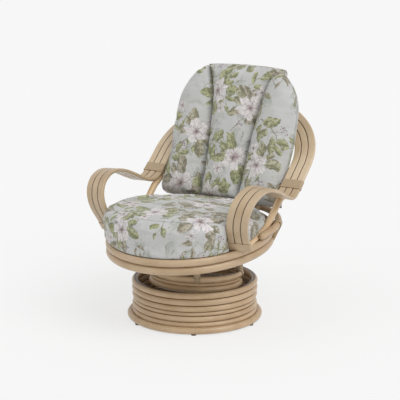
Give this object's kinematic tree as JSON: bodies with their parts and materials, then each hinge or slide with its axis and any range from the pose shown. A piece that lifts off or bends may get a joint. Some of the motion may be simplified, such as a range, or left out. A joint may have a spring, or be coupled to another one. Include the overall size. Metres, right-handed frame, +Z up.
{
  "type": "swivel rocker",
  "caption": "Laminated cane swivel rocker on a round drum base, with looped ribbon arms, an arched back rail, a round seat cushion and a channelled back cushion.",
  "frame": {"origin": "on the floor, on the swivel axis", "axes": "+Z up, -Y towards the front of the chair, +X towards the sitter's left"},
  "size_m": [0.7968, 0.9759, 1.002],
  "materials": {
    "cane_pole": "satin lacquer",
    "cane_strip": "satin lacquer",
    "cane_binding": "satin",
    "hidden_timber": "stained",
    "black_steel": "satin",
    "bright_steel": "zinc plated",
    "rubber": "matt",
    "nylon": "matt",
    "floral_fabric": "printed cotton"
  },
  "bodies": {
    "base": {"base_foot_ring": "cane_pole", "drum_ring_1": "cane_pole", "drum_ring_2": "cane_pole", "drum_ring_3": "cane_pole", "drum_ring_4": "cane_pole", "drum_ring_5": "cane_pole", "drum_ring_6": "cane_pole", "drum_battens": "hidden_timber", "base_cross_rails": "hidden_timber", "base_glides": "nylon", "swivel_lower_plate": "black_steel", "bearing_balls": "bright_steel", "kingpin": "bright_steel", "plate_bolts": "bright_steel"},
    "swivel": {"swivel_upper_plate": "black_steel", "rocker_bracket_lower": "black_steel", "pivot_bolts": "bright_steel", "stop_rubbers": "rubber", "rocker_springs": "bright_steel"},
    "rocker": {"rocker_bracket_upper": "black_steel", "pivot_bushes": "nylon", "bracket_screws": "bright_steel", "inner_cross_rails": "hidden_timber", "inner_ring_bottom": "cane_pole", "inner_ring_thin": "cane_pole", "inner_ring_top": "cane_pole", "seat_posts": "cane_pole", "post_bindings": "cane_binding", "seat_rails": "cane_pole", "hoop_lower": "cane_pole", "hoop_upper": "cane_pole", "back_rail": "cane_pole", "hoop_bindings": "cane_binding", "seat_slats": "hidden_timber", "arm_strip_left_inner": "cane_strip", "arm_strip_left_middle": "cane_strip", "arm_strip_left_outer": "cane_strip", "arm_strip_right_inner": "cane_strip", "arm_strip_right_middle": "cane_strip", "arm_strip_right_outer": "cane_strip", "foot_wrap_left": "cane_binding", "foot_wrap_right": "cane_binding", "side_post_left": "cane_pole", "side_post_right": "cane_pole", "elbow_binding_left": "cane_binding", "elbow_binding_right": "cane_binding", "arch_strip_inner": "cane_strip", "arch_strip_middle": "cane_strip", "arch_strip_outer": "cane_strip", "arch_backing_pole": "cane_pole", "back_frame": "cane_pole", "back_crossbars": "cane_pole", "arch_tie_blocks": "cane_pole", "seat_cushion": "floral_fabric", "back_cushion": "floral_fabric"}
  },
  "joints": [
    {"name": "swivel", "type": "hinge", "parent": "base", "child": "swivel", "pos_m": [0, 0, 0], "axis": [0, 0, 1], "continuous": true},
    {"name": "rock", "type": "hinge", "parent": "swivel", "child": "rocker", "pos_m": [0, 0, 0.125], "axis": [1, 0, 0], "range_deg": [-12, 6], "stiffness_Nm_per_rad": 400, "springref_deg": 1.82, "deforming": ["rocker_springs"]}
  ]
}
